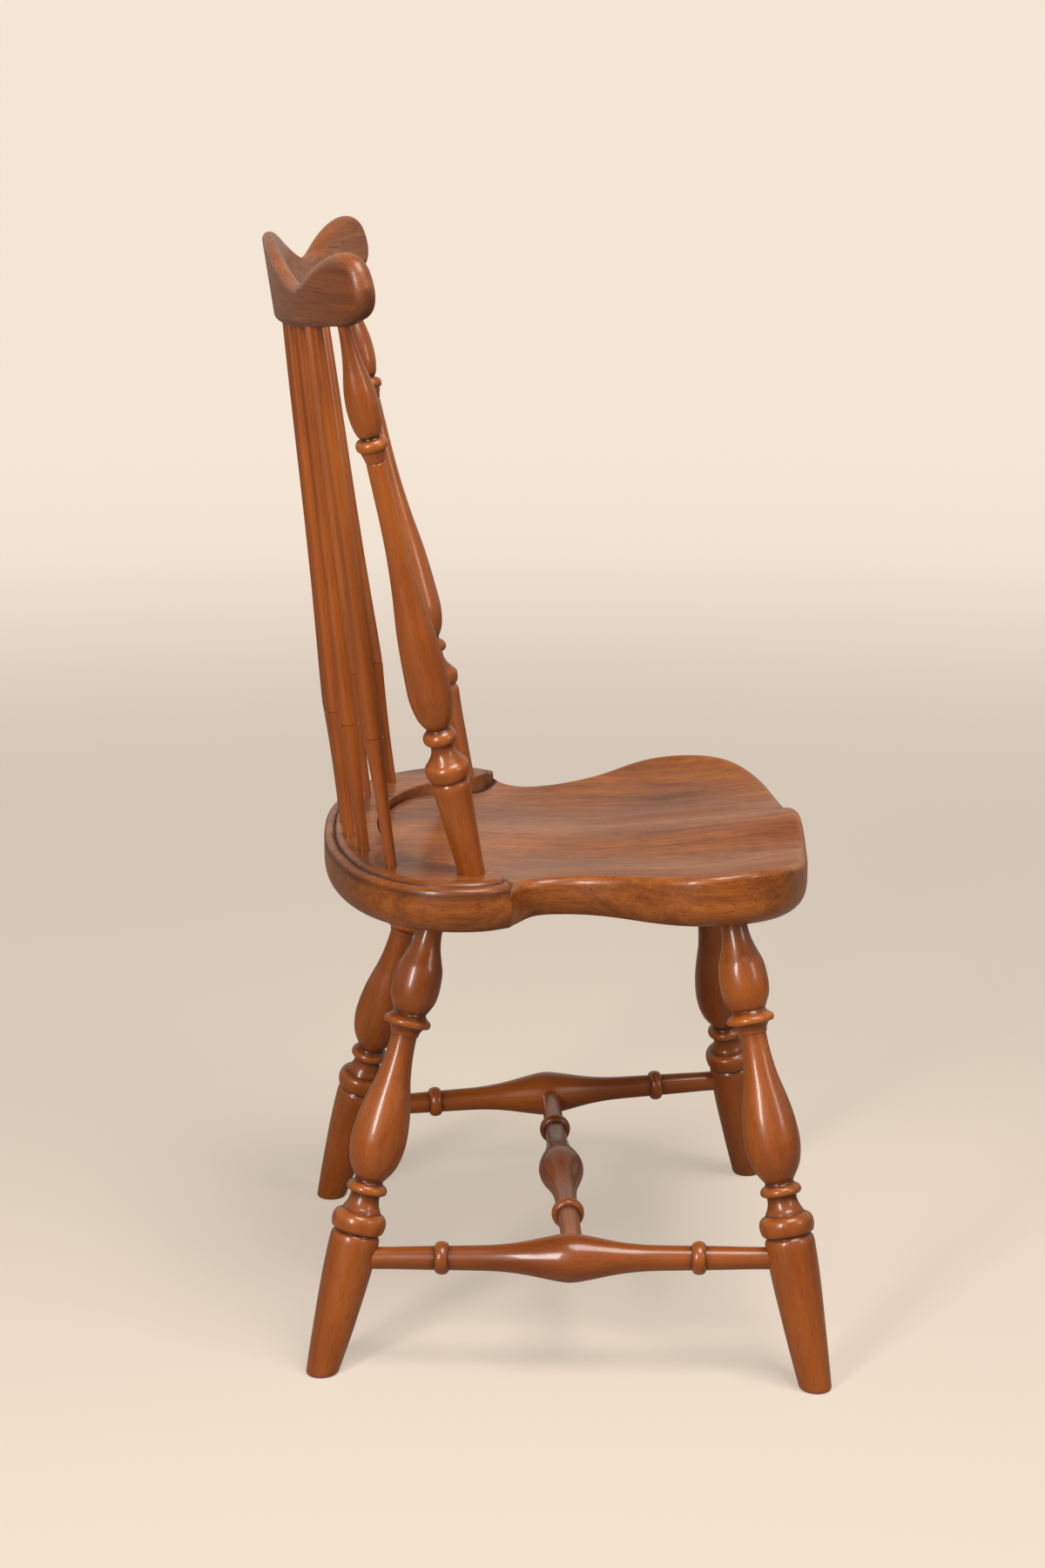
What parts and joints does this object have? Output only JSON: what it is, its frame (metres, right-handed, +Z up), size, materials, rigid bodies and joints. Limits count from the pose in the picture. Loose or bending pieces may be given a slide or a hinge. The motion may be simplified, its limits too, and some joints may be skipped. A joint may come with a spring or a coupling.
{
  "type": "comb-back wooden side chair",
  "caption": "Turned wooden side chair with a carved saddle seat, splayed legs, an H stretcher and a fan of spindles under a bowed comb rail with ears.",
  "frame": {"origin": "on the floor, under the middle of the chair's bounding box", "axes": "+Z up; +X to the sitter's left; the sitter faces -Y and the back leans towards +Y"},
  "size_m": [0.5618, 0.4507, 0.9068],
  "materials": {
    "stained_wood": "glossy stained and lacquered"
  },
  "bodies": {
    "root": {"seat": "stained_wood", "comb_rail": "stained_wood", "left_stile": "stained_wood", "right_stile": "stained_wood", "left_outer_spindle": "stained_wood", "left_middle_spindle": "stained_wood", "left_inner_spindle": "stained_wood", "centre_spindle": "stained_wood", "right_inner_spindle": "stained_wood", "right_middle_spindle": "stained_wood", "right_outer_spindle": "stained_wood", "front_left_leg": "stained_wood", "front_right_leg": "stained_wood", "rear_left_leg": "stained_wood", "rear_right_leg": "stained_wood", "left_side_stretcher": "stained_wood", "right_side_stretcher": "stained_wood", "cross_stretcher": "stained_wood"}
  },
  "joints": []
}
